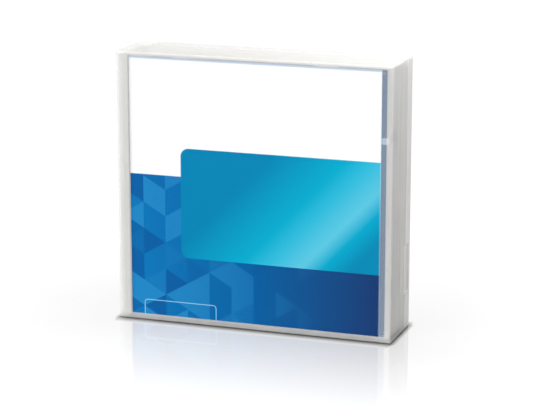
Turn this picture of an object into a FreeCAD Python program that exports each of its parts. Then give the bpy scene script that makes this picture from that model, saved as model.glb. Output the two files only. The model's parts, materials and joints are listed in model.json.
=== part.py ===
"""A data tape cartridge in its hinged library case, as a parametric FreeCAD document.

Millimetres. The model stands on the case's lower edge: X runs across the case, with the
hinge on the left, Y runs back and Z up. Its origin is the middle of the lower edge.

The case and the cartridge are each drawn lying flat on their backs, in frames of their own:
x across, y along the height of the standing case, z from the back towards the front. Every
sub-part's Placement then stands it up and puts it in its place.
"""

import FreeCAD, Part
import math
import os
import re

import Sketcher

# Sizes that can be set by themselves. They go into the spreadsheet, one cell each.
SIZES = {
    # cartridge, as a whole
    "cart_length": 102.0,
    "cart_width": 105.4,
    "cart_corner": 3.0,
    "inner_corner": 0.5,
    "cart_edge": 0.7,
    "plate_wall": 1.6,
    "side_wall": 1.8,
    "split_level": 10.8,
    "recess_depth": 0.3,
    "reel_headroom": 2.1,
    # library case
    "case_wall": 1.5,
    "case_edge": 0.8,
    "hinge_clear": 1.6,
    "partition_wall": 1.2,
    "partition_rise": 9.6,
    "partition_inset": 9.0,
    "rib_wall": 1.2,
    "rail_height": 0.9,
    "rail_width": 1.6,
    "rail_spread": 32.0,
    "lid_rim_depth": 19.6,
    "seam_gap": 0.2,
    "lip_wall": 0.8,
    "lip_gap": 0.2,
    "lip_setback": 7.6,
    "latch_gap": 1.1,
    "seat_gap": 0.3,
    "spine_gap": 0.8,
    # case hinge
    "ear_radius": 3.6,
    "ear_play": 0.3,
    "pin_radius": 1.5,
    "pin_play": 0.08,
    "pin_length": 3.0,
    "boss_height": 6.0,
    # lid details
    "window_step": 0.2,
    "frame_left": 5.0,
    "frame_right": 2.7,
    "frame_edge": 1.6,
    "card_thick": 0.3,
    "card_gap": 0.06,
    "card_play": 0.1,
    "card_margin": 0.4,
    "card_left_margin": 4.9,
    "card_right_margin": 5.3,
    "tab_width": 9.0,
    "tab_overlap": 1.2,
    "tab_thick": 0.8,
    "tab_gap": 0.54,
    "tab_spread": 30.0,
    "side_tab_drop": 30.0,
    "side_tab_width": 2.4,
    "side_rib_height": 0.6,
    "side_rib_length": 12.0,
    "thumb_depth": 0.5,
    "thumb_level": 25.5,
    "thumb_length": 20.0,
    "thumb_reach": 4.6,
    "latch_height": 0.9,
    "latch_length": 11.0,
    "latch_width": 1.4,
    "latch_offset": 1.1,
    # screws
    "screw_inset": 5.4,
    "screw_front_inset": 4.8,
    "screw_front_setback": 16.7,
    "screw_radius": 1.0,
    "screw_length": 14.0,
    "screw_play": 0.15,
    "thread_play": 0.05,
    "head_radius": 2.0,
    "head_height": 1.1,
    "head_play": 0.2,
    "head_sink": 1.5,
    "cross_width": 0.6,
    "cross_length": 2.4,
    "cross_depth": 0.7,
    "boss_wall": 1.55,
    "pilot_extra": 1.0,
    # reel
    "hub_radius": 22.0,
    "hub_wall": 2.4,
    "web_thick": 1.8,
    "reel_lift": 0.9,
    "flange_gap": 0.7,
    "flange_thick": 1.2,
    "tape_width": 12.65,
    "tape_side_play": 0.125,
    "pack_inset": 2.5,
    "pack_play": 0.05,
    "drive_hole_radius": 17.5,
    "drive_hole_gap": 0.9,
    "drive_ring_width": 3.0,
    "drive_ring_height": 0.9,
    "drive_teeth": 36,
    "drive_tooth_height": 0.7,
    "drive_tooth_inset": 0.2,
    "drive_tooth_width": 0.9,
    "steel_inner": 4.0,
    "steel_thick": 0.8,
    # reel brake
    "brake_teeth": 24,
    "brake_tooth_height": 1.4,
    "brake_tooth_length": 3.0,
    "brake_tooth_angle": 6.0,
    "brake_gap": 0.2,
    "brake_side_gap": 1.4,
    "brake_rim": 0.6,
    "brake_thick": 2.0,
    "socket_wall": 0.7,
    "socket_headroom": 6.0,
    "post_radius": 4.0,
    "post_play": 0.3,
    "post_gap": 2.1,
    "key_width": 1.4,
    "key_reach": 1.2,
    "key_play": 0.3,
    "release_radius": 5.4,
    "release_thick": 1.2,
    "release_gap": 0.1,
    "hole_land": 0.4,
    "leg_radius": 1.8,
    "leg_play": 0.4,
    "leg_length": 3.2,
    "release_legs": 3,
    "arm_width": 3.0,
    "spring_room": 2.0,
    "brake_spring_wire": 0.8,
    "brake_spring_turns": 3.0,
    # leader pin and its door
    "pin_setback": 6.9,
    "leader_radius": 1.5,
    "leader_flange": 2.5,
    "leader_flange_height": 1.2,
    "leader_play": 0.2,
    "clip_wall": 0.4,
    "clip_height": 2.0,
    "clip_back": 3.2,
    "clip_front": 1.6,
    "leader_tape_thick": 0.2,
    "mouth_width": 15.0,
    "mouth_setback": 3.0,
    "mouth_margin": 0.6,
    "door_overlap": 0.9,
    "door_thick": 1.1,
    "door_play": 0.15,
    "groove_depth": 0.7,
    "groove_play": 0.2,
    "door_grips": 3,
    "door_grip": 0.35,
    "door_grip_width": 0.6,
    "door_spring_radius": 0.7,
    "door_spring_wire": 0.3,
    "door_spring_turns": 4.0,
    "door_spring_rest": 7.8,
    "stop_wall": 1.0,
    "stop_height": 3.0,
    # write-protect tab
    "tab_window_inset": 17.1,
    "tab_window_length": 11.2,
    "tab_window_low": 3.2,
    "tab_window_height": 5.0,
    "tab_nub_length": 5.2,
    "tab_nub_play": 0.2,
    "tab_nub_depth": 1.2,
    "tab_plate_margin": 1.6,
    "tab_plate_thick": 1.0,
    "tab_rail_gap": 0.3,
    "tab_rail_height": 2.4,
    # cartridge memory
    "chip_length": 12.0,
    "chip_height": 7.0,
    "chip_thick": 0.8,
    "chip_inset": 7.5,
    # outside of the cartridge
    "notch_inset": 17.0,
    "notch_length": 6.0,
    "notch_depth": 0.9,
    "grip_ribs": 6,
    "grip_pitch": 3.0,
    "grip_width": 1.2,
    "grip_length": 44.0,
    "grip_inset": 6.0,
    "label_inset": 30.0,
    "label_end": 8.0,
    "label_margin": 13.7,
    "rear_label_start": 22.0,
    "rear_label_length": 56.0,
    "rear_label_margin": 3.0,
    "datum_radius": 2.0,
    "datum_slot_length": 3.0,
    "datum_depth": 0.9,
    "datum_inset": 21.0,
    "datum_side_inset": 9.5,
}

# Places and sizes that follow from others. A formula may use the names above it.
PLACES = {
    # cartridge frame: x from rear to front, y across, z up from the drive side
    "reel_base": "plate_wall + reel_lift",
    "tape_low": "reel_base + flange_thick",
    "tape_high": "tape_low + tape_width + 2 * tape_side_play",
    "roof_inside": "tape_high + flange_thick + reel_headroom",
    "cart_thick": "roof_inside + plate_wall",
    "end_inside": "cart_length / 2 - side_wall",
    "flank_inside": "cart_width / 2 - side_wall",
    "screw_x": "cart_length / 2 - screw_inset",
    "screw_y": "cart_width / 2 - screw_inset",
    "screw_front_x": "cart_length / 2 - screw_front_inset",
    "screw_front_y": "cart_width / 2 - screw_front_setback",
    "screw_boss_radius": "screw_radius + screw_play + boss_wall",
    "screw_end": "head_sink + screw_length",
    "door_outside": "-flank_inside + groove_play",
    "door_inside": "door_outside + door_thick",
    "door_level": "(door_outside + door_inside) / 2",
    "reel_room": "min(end_inside; -door_level - door_spring_radius)",
    "flange_radius": "reel_room - flange_gap",
    "pack_radius": "flange_radius - pack_inset",
    "web_top": "reel_base + web_thick",
    "hub_inside": "hub_radius - hub_wall",
    "ring_low": "reel_base - drive_ring_height",
    "drive_ring_outer": "drive_hole_radius - drive_hole_gap",
    "drive_ring_inner": "drive_ring_outer - drive_ring_width",
    "leg_hole_radius": "leg_radius + leg_play",
    "leg_circle": "drive_ring_inner - hole_land - leg_hole_radius",
    "steel_outer": "leg_circle - leg_hole_radius - hole_land",
    "hub_teeth_top": "web_top + brake_tooth_height",
    "brake_low": "hub_teeth_top + brake_gap",
    "brake_top": "brake_low + brake_thick",
    "brake_teeth_low": "web_top + brake_gap",
    "brake_radius": "hub_inside - brake_side_gap",
    "brake_tooth_outer": "brake_radius - brake_rim",
    "brake_tooth_inner": "brake_tooth_outer - brake_tooth_length",
    "socket_bore": "post_radius + post_play",
    "socket_radius": "post_radius + key_reach + key_play + socket_wall",
    "socket_top": "roof_inside - socket_headroom",
    "brake_spring_radius": "socket_radius + spring_room + brake_spring_wire / 2",
    "release_top": "brake_low - release_gap",
    "release_low": "release_top - release_thick",
    "mouth_right": "cart_length / 2 - mouth_setback",
    "mouth_left": "mouth_right - mouth_width",
    "mouth_low": "plate_wall + mouth_margin",
    "mouth_high": "roof_inside - mouth_margin",
    "leader_x": "(mouth_left + mouth_right) / 2",
    "leader_y": "flank_inside - pin_setback",
    "door_right": "mouth_right + door_overlap",
    "door_left": "mouth_left - door_overlap",
    "door_travel": "door_right - mouth_left",
    "door_low": "plate_wall - groove_depth + door_play",
    "door_high": "roof_inside + groove_depth - door_play",
    "groove_left": "door_left - door_travel - groove_play",
    "spring_stop": "door_left - door_travel - door_spring_rest",
    "spring_level": "plate_wall + door_spring_radius + groove_play",
    "tab_window_end": "cart_width / 2 - tab_window_inset + tab_window_length / 2",
    "tab_window_start": "tab_window_end - tab_window_length",
    "tab_window_high": "tab_window_low + tab_window_height",
    "tab_nub_start": "tab_window_start + tab_nub_play",
    "tab_nub_end": "tab_nub_start + tab_nub_length",
    "tab_front": "-end_inside + tab_nub_play",
    "tab_back": "tab_front + tab_plate_thick",
    "tab_rail_left": "tab_back + tab_rail_gap",
    "label_left": "-cart_length / 2 + label_inset",
    "label_right": "cart_length / 2 - label_end",
    "label_half": "cart_width / 2 - label_margin",
    # case frame: x across, y up the standing case, z from the back to the front
    "hinge_room": "2 * ear_radius - case_wall + hinge_clear",
    "card_room": "card_gap + card_thick + card_play + tab_thick + tab_gap",
    "cart_room_x": "cart_length + 2 * seat_gap",
    "case_width": "hinge_room + partition_wall + cart_room_x + lip_wall + latch_gap + 2 * case_wall",
    "case_height": "cart_width + 2 * (seat_gap + lip_wall + lip_gap + case_wall)",
    "case_depth": "rail_height + cart_thick + card_room + 2 * case_wall",
    "case_left": "-case_width / 2",
    "case_right": "case_width / 2",
    "lid_inside_right": "case_right - case_wall",
    "lid_inside_top": "case_height - case_wall",
    "panel_back": "case_depth - case_wall",
    "rim_back": "case_depth - lid_rim_depth",
    "band_front": "rim_back - seam_gap",
    "pivot_x": "case_left + ear_radius",
    "pivot_z": "case_wall + ear_play + ear_radius",
    "ear_right": "pivot_x + ear_radius",
    "band_left": "ear_right + ear_play",
    "lip_low": "case_wall + lip_gap",
    "lip_high": "case_height - lip_low",
    "lip_inner_low": "lip_low + lip_wall",
    "lip_inner_high": "lip_high - lip_wall",
    "lip_right": "lid_inside_right - latch_gap",
    "lip_inner_right": "lip_right - lip_wall",
    "lip_front": "case_depth - lip_setback",
    "spine_inside": "case_left + case_wall",
    "spine_front": "panel_back - spine_gap",
    "rail_top": "case_wall + rail_height",
    "cart_x": "lip_inner_right - seat_gap - cart_length / 2",
    "cart_y": "case_height / 2",
    "partition_right": "cart_x - cart_length / 2 - seat_gap",
    "partition_left": "partition_right - partition_wall",
    "card_front": "panel_back - card_gap",
    "card_back": "card_front - card_thick",
    "card_left": "case_left + card_left_margin",
    "card_right": "case_right - card_right_margin",
    "card_low": "case_wall + card_margin",
    "card_high": "lid_inside_top - card_margin",
    "card_tab_front": "card_back - card_play",
    "card_tab_back": "card_tab_front - tab_thick",
    "side_tab_level": "case_height - side_tab_drop",
    "side_tab_low": "side_tab_level - side_tab_width / 2",
    "side_tab_high": "side_tab_level + side_tab_width / 2",
    "side_rib_back": "panel_back - side_rib_length",
    "latch_back": "band_front + latch_offset",
    "latch_front": "latch_back + latch_width",
}

CASE = "case"
CARTRIDGE = "cartridge"
NAMES = re.compile(r"[a-z]+(?:_[a-z]+)+")
SPIRAL_ORDER = "height-turns-angle"
TRIM_SIZE = {"Fillet": "Radius", "Chamfer": "Size"}

document = FreeCAD.newDocument("library_cartridge")
sheet = document.addObject("Spreadsheet::Sheet", "dims")


def fill_sheet():
    """Puts each driving size into a cell of its own, with its name as alias."""
    for row, (name, value) in enumerate(SIZES.items(), start=1):
        sheet.set(f"A{row}", name.replace("_", " "))
        sheet.set(f"B{row}", str(value))
        sheet.setAlias(f"B{row}", name)
    document.recompute()


def bind(formula):
    """Writes a formula in terms of the spreadsheet's cells."""

    def spell(match):
        word = match.group(0)
        return f"({bind(PLACES[word])})" if word in PLACES else f"dims.{word}"

    return NAMES.sub(spell, formula)


def size(formula):
    """The present value of a formula, in millimetres."""
    return float(sheet.evalExpression(bind(formula)))


def stand(part, frame, x="0", y="0", z="0"):
    """Stands a sub-part up in the model, at a place given in the frame it is drawn in."""
    upright = FreeCAD.Rotation(FreeCAD.Vector(1, 0, 0), 90)
    part.Placement = FreeCAD.Placement(FreeCAD.Vector(), upright)
    if frame == CARTRIDGE:
        x, y, z = f"cart_x + {x}", f"cart_y + {y}", f"rail_top + {z}"
    places = {"x": x, "y": f"case_depth / 2 - ({z})", "z": y}
    for axis, formula in places.items():
        part.setExpression(f"Placement.Base.{axis}", bind(formula))


def new_body(name, frame, x="0", y="0", z="0"):
    """Starts a sub-part as a body, drawn in one of the two frames."""
    body = document.addObject("PartDesign::Body", name)
    body.Label = name
    stand(body, frame, x, y, z)
    return body


def tie(sketch, kind, edge, point, formula):
    """Holds one coordinate of a point of a sketch to a formula."""
    constraint = Sketcher.Constraint(kind, -1, 1, edge, point, size(formula))
    index = sketch.addConstraint(constraint)
    sketch.setExpression(f"Constraints[{index}]", bind(formula))


def polygon(sketch, *corners):
    """Draws a closed outline whose corners follow pairs of formulas."""
    points = [FreeCAD.Vector(size(x), size(y), 0) for x, y in corners]
    first = sketch.GeometryCount
    for start, end in zip(points, points[1:] + points[:1]):
        sketch.addGeometry(Part.LineSegment(start, end))
    for index, (x, y) in enumerate(corners):
        edge = first + index
        following = first + (index + 1) % len(corners)
        sketch.addConstraint(Sketcher.Constraint("Coincident", edge, 2, following, 1))
        tie(sketch, "DistanceX", edge, 1, x)
        tie(sketch, "DistanceY", edge, 1, y)


def rectangle(sketch, left, right, low, high):
    """Draws a rectangle between four formulas."""
    polygon(sketch, (left, low), (right, low), (right, high), (left, high))


def rounded(sketch, half_x, half_y, radius):
    """Draws a rectangle with round corners about the sketch's origin."""
    across, along, bend = size(half_x), size(half_y), size(radius)
    flat_x, flat_y = across - bend, along - bend
    runs = (
        ((-flat_x, -along), (flat_x, -along)),
        ((across, -flat_y), (across, flat_y)),
        ((flat_x, along), (-flat_x, along)),
        ((-across, flat_y), (-across, -flat_y)),
    )
    middles = ((flat_x, -flat_y), (flat_x, flat_y), (-flat_x, flat_y), (-flat_x, -flat_y))
    first = sketch.GeometryCount
    for start, end in runs:
        sketch.addGeometry(Part.LineSegment(FreeCAD.Vector(*start, 0), FreeCAD.Vector(*end, 0)))
    for index, middle in enumerate(middles):
        circle_of = Part.Circle(FreeCAD.Vector(*middle, 0), FreeCAD.Vector(0, 0, 1), bend)
        start = math.radians(90 * index - 90)
        sketch.addGeometry(Part.ArcOfCircle(circle_of, start, start + math.pi / 2))
    for index in range(4):
        edge, bow = first + index, first + 4 + index
        following = first + (index + 1) % 4
        sketch.addConstraint(Sketcher.Constraint("Tangent", edge, 2, bow, 1))
        sketch.addConstraint(Sketcher.Constraint("Tangent", bow, 2, following, 1))
        direction = "Horizontal" if index % 2 == 0 else "Vertical"
        sketch.addConstraint(Sketcher.Constraint(direction, edge))
        if index:
            sketch.addConstraint(Sketcher.Constraint("Equal", first + 4, bow))
    index = sketch.addConstraint(Sketcher.Constraint("Radius", first + 4, bend))
    sketch.setExpression(f"Constraints[{index}]", bind(radius))
    tie(sketch, "DistanceY", first, 1, f"-({half_y})")
    tie(sketch, "DistanceX", first + 1, 1, half_x)
    tie(sketch, "DistanceY", first + 2, 1, half_y)
    tie(sketch, "DistanceX", first + 3, 1, f"-({half_x})")


def circle(sketch, x, y, radius):
    """Draws a circle whose centre and radius follow formulas."""
    middle = FreeCAD.Vector(size(x), size(y), 0)
    edge = sketch.addGeometry(Part.Circle(middle, FreeCAD.Vector(0, 0, 1), size(radius)))
    tie(sketch, "DistanceX", edge, 3, x)
    tie(sketch, "DistanceY", edge, 3, y)
    index = sketch.addConstraint(Sketcher.Constraint("Radius", edge, size(radius)))
    sketch.setExpression(f"Constraints[{index}]", bind(radius))


def ring(sketch, outer, inner):
    """Draws two circles about the sketch's origin."""
    circle(sketch, "0", "0", outer)
    circle(sketch, "0", "0", inner)


def rectangles(sketch, *shapes):
    """Draws several rectangles in one sketch, each as left, right, low and high."""
    for shape in shapes:
        rectangle(sketch, *shape)


def circles(sketch, radius, places):
    """Draws like circles in one sketch at several places."""
    for x, y in places:
        circle(sketch, x, y, radius)


def sketch_on(body, plane, offset="0"):
    """Starts a sketch on one of the body's own origin planes, moved along its normal."""
    sketch = body.newObject("Sketcher::SketchObject", f"{body.Name}_sketch")
    support = next(f for f in body.Origin.OriginFeatures if f.Role == f"{plane}_Plane")
    sketch.AttachmentSupport = (support, [""])
    sketch.MapMode = "FlatFace"
    sketch.setExpression("AttachmentOffset.Base.z", bind(offset))
    return sketch


def add(body, plane, low, high, draw, *shape):
    """Adds what a sketch encloses, between two levels along the plane's axis."""
    offset = f"-({high})" if plane == "XZ" else low
    sketch = sketch_on(body, plane, offset)
    draw(sketch, *shape)
    feature = body.newObject("PartDesign::Pad", f"{body.Name}_pad")
    feature.Profile = sketch
    feature.setExpression("Length", bind(f"{high} - ({low})"))
    return feature


def cut(body, plane, low, high, draw, *shape):
    """Cuts away what a sketch encloses, between two levels along the plane's axis."""
    offset = f"-({low})" if plane == "XZ" else high
    sketch = sketch_on(body, plane, offset)
    draw(sketch, *shape)
    feature = body.newObject("PartDesign::Pocket", f"{body.Name}_pocket")
    feature.Profile = sketch
    feature.setExpression("Length", bind(f"{high} - ({low})"))
    return feature


def turn(body, *corners):
    """Revolves an outline of radius and height pairs about the body's Z axis."""
    sketch = sketch_on(body, "XZ")
    polygon(sketch, *corners)
    feature = body.newObject("PartDesign::Revolution", f"{body.Name}_revolution")
    feature.Profile = sketch
    feature.ReferenceAxis = (sketch, ["V_Axis"])
    feature.Angle = 360
    return feature


def repeat_round(body, copies, *features):
    """Repeats features round the body's Z axis."""
    pattern = body.newObject("PartDesign::PolarPattern", f"{body.Name}_polar")
    pattern.Originals = list(features)
    pattern.Axis = (features[0].Profile[0], ["N_Axis"])
    pattern.Angle = 360
    pattern.Occurrences = round(size(copies))
    pattern.setExpression("Occurrences", bind(copies))
    body.Tip = pattern


def coil(body, radius, wire, height, turns):
    """Winds a square wire round the body's Z axis; both ends stay inside the height."""
    sketch = sketch_on(body, "XZ")
    half = f"{wire} / 2"
    rectangle(sketch, f"{radius} - {half}", f"{radius} + {half}", "0", wire)
    feature = body.newObject("PartDesign::AdditiveHelix", f"{body.Name}_helix")
    feature.Profile = sketch
    feature.ReferenceAxis = (sketch, ["V_Axis"])
    feature.Mode = SPIRAL_ORDER
    feature.setExpression("Height", bind(f"{height} - {wire}"))
    feature.setExpression("Turns", bind(turns))
    feature.Angle = 0
    return feature


def trim_edges(body, kind, amount, wanted):
    """Fillets or chamfers the edges of the body for which wanted, given the edge's middle, holds."""
    document.recompute()
    tip = body.Tip
    names = []
    for index, edge in enumerate(tip.Shape.Edges, start=1):
        middle = edge.valueAt((edge.FirstParameter + edge.LastParameter) / 2)
        if wanted(middle, edge):
            names.append(f"Edge{index}")
    feature = body.newObject(f"PartDesign::{kind}", f"{body.Name}_trim")
    feature.Base = (tip, names)
    feature.setExpression(TRIM_SIZE[kind], bind(amount))
    return feature


def near(value, *targets):
    """Whether a coordinate lies on one of the targets."""
    return any(abs(value - target) < 1e-4 for target in targets)


def open_ring(left, inner_right, inner_low, inner_high):
    """The C of three case walls, open towards the hinge, as corners."""
    return (
        (left, "0"),
        ("case_right", "0"),
        ("case_right", "case_height"),
        (left, "case_height"),
        (left, inner_high),
        (inner_right, inner_high),
        (inner_right, inner_low),
        (left, inner_low),
    )


def make_case_lid():
    """Front panel with its window, three walls, hinge ears with pins, and card tabs."""
    body = new_body("case_lid", CASE)
    add(body, "XY", "panel_back", "case_depth", rectangle, "case_left", "case_right", "0", "case_height")
    walls = open_ring("case_left", "lid_inside_right", "case_wall", "lid_inside_top")
    add(body, "XY", "rim_back", "panel_back", polygon, *walls)
    ends = (
        ("lid_inside_top", "case_height", "lid_inside_top - pin_length", "lid_inside_top"),
        ("0", "case_wall", "case_wall", "case_wall + pin_length"),
    )
    for low, high, pin_low, pin_high in ends:
        add(body, "XZ", low, high, rectangle, "case_left", "ear_right", "pivot_z", "rim_back + case_wall")
        add(body, "XZ", low, high, circle, "pivot_x", "pivot_z", "ear_radius")
        add(body, "XZ", pin_low, pin_high, circle, "pivot_x", "pivot_z", "pin_radius")
    tabs = [("card_right - tab_overlap", "lid_inside_right", "side_tab_low", "side_tab_high")]
    for side in ("-tab_spread", "tab_spread"):
        left, right = f"{side} - tab_width / 2", f"{side} + tab_width / 2"
        tabs.append((left, right, "card_high - tab_overlap", "lid_inside_top"))
        tabs.append((left, right, "case_wall", "card_low + tab_overlap"))
    add(body, "XY", "card_tab_back", "card_tab_front", rectangles, *tabs)
    rib = ("lid_inside_right - side_rib_height", "lid_inside_right", "side_tab_low", "side_tab_high")
    add(body, "XY", "side_rib_back", "panel_back", rectangle, *rib)
    cut(
        body, "XY", "case_depth - window_step", "case_depth", rectangle,
        "case_left + frame_left", "case_right - frame_right", "frame_edge", "case_height - frame_edge",
    )
    cut_thumb_rest(body, "rim_back - case_wall", "rim_back + thumb_reach")
    right, top, front = size("case_right"), size("case_height"), size("case_depth")

    def outer(middle, edge):
        corner = near(middle.x, right) and near(middle.y, 0, top)
        face = near(middle.z, front) and (near(middle.x, -right, right) or near(middle.y, 0, top))
        return corner or face

    trim_edges(body, "Fillet", "case_edge", outer)
    return body


def cut_thumb_rest(body, low, high):
    """Sinks the shared thumb rest into the right wall, across the seam."""
    cut(
        body, "YZ", "case_right - thumb_depth", "case_right", rectangle,
        "thumb_level - thumb_length / 2", "thumb_level + thumb_length / 2", low, high,
    )


def make_case_tray():
    """Back panel, flush band, inner lip, spine with hinge bosses, and what seats the cartridge."""
    body = new_body("case_tray", CASE)
    add(body, "XY", "0", "case_wall", rectangle, "case_left", "case_right", "0", "case_height")
    band = open_ring("band_left", "lip_inner_right", "lip_inner_low", "lip_inner_high")
    add(body, "XY", "case_wall", "band_front", polygon, *band)
    add(
        body, "XY", "case_wall", "lip_front", rectangles,
        ("case_left", "lip_right", "lip_low", "lip_high"),
        ("spine_inside", "lip_inner_right", "lip_inner_low", "lip_inner_high"),
    )
    spine = ("case_left", "spine_inside", "lip_low", "lip_high")
    add(body, "XY", "lip_front", "spine_front", rectangle, *spine)
    boss_front = "pivot_z + ear_radius"
    ends = (
        (("lip_high - boss_height", "lip_high"), ("lip_high - pin_length", "lip_high")),
        (("lip_low", "lip_low + boss_height"), ("lip_low", "lip_low + pin_length")),
    )
    for boss, bore in ends:
        add(body, "XZ", *boss, rectangle, "case_left", "ear_right", "case_wall", boss_front)
        cut(body, "XZ", *bore, circle, "pivot_x", "pivot_z", "pin_radius + pin_play")
    cut(
        body, "XY", "0", "case_wall", rectangles,
        ("case_left", "band_left", "lip_high", "case_height"), ("case_left", "band_left", "0", "lip_low"),
    )
    rails = []
    for side in ("-rail_spread", "rail_spread"):
        left, right = f"cart_x + {side} - rail_width / 2", f"cart_x + {side} + rail_width / 2"
        rails.append((left, right, "lip_inner_low", "lip_inner_high"))
    add(body, "XY", "case_wall", "rail_top", rectangles, *rails)
    ends_inset = ("lip_inner_low + partition_inset", "lip_inner_high - partition_inset")
    partition_top = "case_wall + partition_rise"
    add(body, "XY", "case_wall", partition_top, rectangle, "partition_left", "partition_right", *ends_inset)
    ribs = []
    for share in (1, 2):
        low = f"case_height * {share} / 3 - rib_wall / 2"
        ribs.append(("spine_inside", "partition_left", low, f"{low} + rib_wall"))
    add(body, "XY", "case_wall", "band_front", rectangles, *ribs)
    slope = "latch_width / 4"
    add(
        body, "XZ", "thumb_level - latch_length / 2", "thumb_level + latch_length / 2", polygon,
        ("lip_right", "latch_back"),
        ("lip_right + latch_height", f"latch_back + {slope}"),
        ("lip_right + latch_height", f"latch_front - {slope}"),
        ("lip_right", "latch_front"),
    )
    cut(
        body, "YZ", "lip_inner_right", "lip_right", rectangle,
        "side_tab_low - seat_gap", "side_tab_high + seat_gap",
        "side_rib_back - seat_gap", "lip_front + seat_gap",
    )
    cut_thumb_rest(body, "band_front - thumb_reach", "band_front + seam_gap")
    left, right, top = size("case_left"), size("case_right"), size("case_height")

    def outer(middle, edge):
        corner = near(middle.x, right) and near(middle.y, 0, top)
        face = near(middle.z, 0) and (near(middle.x, left, right) or near(middle.y, 0, top))
        return corner or face

    trim_edges(body, "Fillet", "case_edge", outer)
    return body


def make_insert_card():
    """The title card behind the window."""
    body = new_body("insert_card", CASE)
    outline = ("card_left", "card_right", "card_low", "card_high")
    add(body, "XY", "card_back", "card_front", rectangle, *outline)
    return body


def screw_places():
    """The four screws' x and y formulas. The one beside the leader pin is set back."""
    return (
        ("-screw_x", "-screw_y"),
        ("-screw_x", "screw_y"),
        ("screw_x", "screw_y"),
        ("screw_front_x", "-screw_front_y"),
    )


def cut_leader_mouth(body, low, high):
    """Opens the side wall where the leader pin comes out."""
    cut(body, "XZ", "-cart_width / 2", "-flank_inside", rectangle, "mouth_left", "mouth_right", low, high)


def cut_side_notches(body, low, high):
    """Cuts the picker's notches into both flanks."""
    left = "notch_inset - cart_length / 2"
    right = f"{left} + notch_length"
    near_side = (left, right, "-cart_width / 2", "-cart_width / 2 + notch_depth")
    far_side = (left, right, "cart_width / 2 - notch_depth", "cart_width / 2")
    cut(body, "XY", low, high, rectangles, near_side, far_side)


def cut_rear_label(body, low, high):
    """Sinks a label field into the rear wall, beside the write-protect window."""
    start = "rear_label_start - cart_width / 2"
    field = (start, f"{start} + rear_label_length", low, high)
    cut(body, "YZ", "-cart_length / 2", "recess_depth - cart_length / 2", rectangle, *field)


def cut_datum_recesses(body):
    """Cuts the round and the long recess that place the cartridge in a drive."""
    x, y = "cart_length / 2 - datum_inset", "cart_width / 2 - datum_side_inset"
    ends = (f"{x} - datum_slot_length / 2", f"{x} + datum_slot_length / 2")
    cut(body, "XY", "0", "datum_depth", circle, x, y, "datum_radius")
    sides = (f"-({y}) - datum_radius", f"-({y}) + datum_radius")
    cut(body, "XY", "0", "datum_depth", rectangle, *ends, *sides)
    for end in ends:
        cut(body, "XY", "0", "datum_depth", circle, end, f"-({y})", "datum_radius")


def chamfer_shell(body, level):
    """Chamfers the outer rim of a shell at the given level."""
    height = size(level)
    reach_x, reach_y = size("cart_length / 2 - cart_corner"), size("cart_width / 2 - cart_corner")

    def rim(middle, edge):
        return near(middle.z, height) and (abs(middle.x) > reach_x or abs(middle.y) > reach_y)

    trim_edges(body, "Chamfer", "cart_edge", rim)


def make_lower_shell():
    """Drive side of the cartridge: drive hole, screw bosses, door groove and tab rail."""
    body = new_body("lower_shell", CARTRIDGE)
    add(body, "XY", "0", "split_level", rounded, "cart_length / 2", "cart_width / 2", "cart_corner")
    inner = ("end_inside", "flank_inside", "inner_corner")
    cut(body, "XY", "plate_wall", "split_level", rounded, *inner)
    add(body, "XY", "plate_wall", "split_level", circles, "screw_boss_radius", screw_places())
    cut(body, "XY", "0", "split_level", circles, "screw_radius + screw_play", screw_places())
    cut(body, "XY", "0", "head_sink", circles, "head_radius + head_play", screw_places())
    cut(body, "XY", "0", "plate_wall", circle, "0", "0", "drive_hole_radius")
    cut_leader_mouth(body, "mouth_low", "split_level")
    cut_door_groove(body, "plate_wall - groove_depth", "plate_wall")
    stop = ("spring_stop - stop_wall", "spring_stop", "-flank_inside", "door_inside + groove_play")
    add(body, "XY", "plate_wall", "plate_wall + stop_height", rectangle, *stop)
    cut(
        body, "YZ", "-cart_length / 2", "-end_inside", rectangle, "tab_window_start", "tab_window_end",
        "tab_window_low", "tab_window_high",
    )
    add(
        body, "XY", "plate_wall", "plate_wall + tab_rail_height", rectangle,
        "tab_rail_left", "tab_rail_left + stop_wall", "tab_window_start - tab_plate_margin", "tab_window_end",
    )
    cut_rear_label(body, "rear_label_margin", "split_level")
    cut_datum_recesses(body)
    cut_side_notches(body, "0", "split_level")
    chamfer_shell(body, "0")
    return body


def cut_door_groove(body, low, high):
    """Cuts the groove that one edge of the access door runs in."""
    cut(
        body, "XY", low, high, rectangle,
        "groove_left", "door_right + groove_play", "door_outside - door_play", "door_inside + door_play",
    )


def make_upper_shell():
    """Roof of the cartridge: brake post, screw bosses, label and grip recesses."""
    body = new_body("upper_shell", CARTRIDGE)
    add(body, "XY", "split_level", "cart_thick", rounded, "cart_length / 2", "cart_width / 2", "cart_corner")
    inner = ("end_inside", "flank_inside", "inner_corner")
    cut(body, "XY", "split_level", "roof_inside", rounded, *inner)
    add(body, "XY", "split_level", "roof_inside", circles, "screw_boss_radius", screw_places())
    pilot = "screw_radius + thread_play"
    cut(body, "XY", "split_level", "screw_end + pilot_extra", circles, pilot, screw_places())
    post_low = "brake_top + post_gap"
    add(body, "XY", post_low, "roof_inside", circle, "0", "0", "post_radius")
    key = ("key_width / 2", "post_radius + key_reach")
    add(body, "XY", post_low, "roof_inside", rectangle, f"-({key[1]})", key[1], f"-{key[0]}", key[0])
    cut_leader_mouth(body, "split_level", "mouth_high")
    cut_door_groove(body, "roof_inside", "roof_inside + groove_depth")
    recesses = [("label_left", "label_right", "-label_half", "label_half")]
    for number in range(round(size("grip_ribs"))):
        left = f"-cart_length / 2 + grip_inset + {number} * grip_pitch"
        recesses.append((left, f"{left} + grip_width", "-grip_length / 2", "grip_length / 2"))
    cut(body, "XY", "cart_thick - recess_depth", "cart_thick", rectangles, *recesses)
    cut_rear_label(body, "split_level", "cart_thick - rear_label_margin")
    cut_side_notches(body, "split_level", "cart_thick")
    chamfer_shell(body, "cart_thick")
    return body


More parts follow.
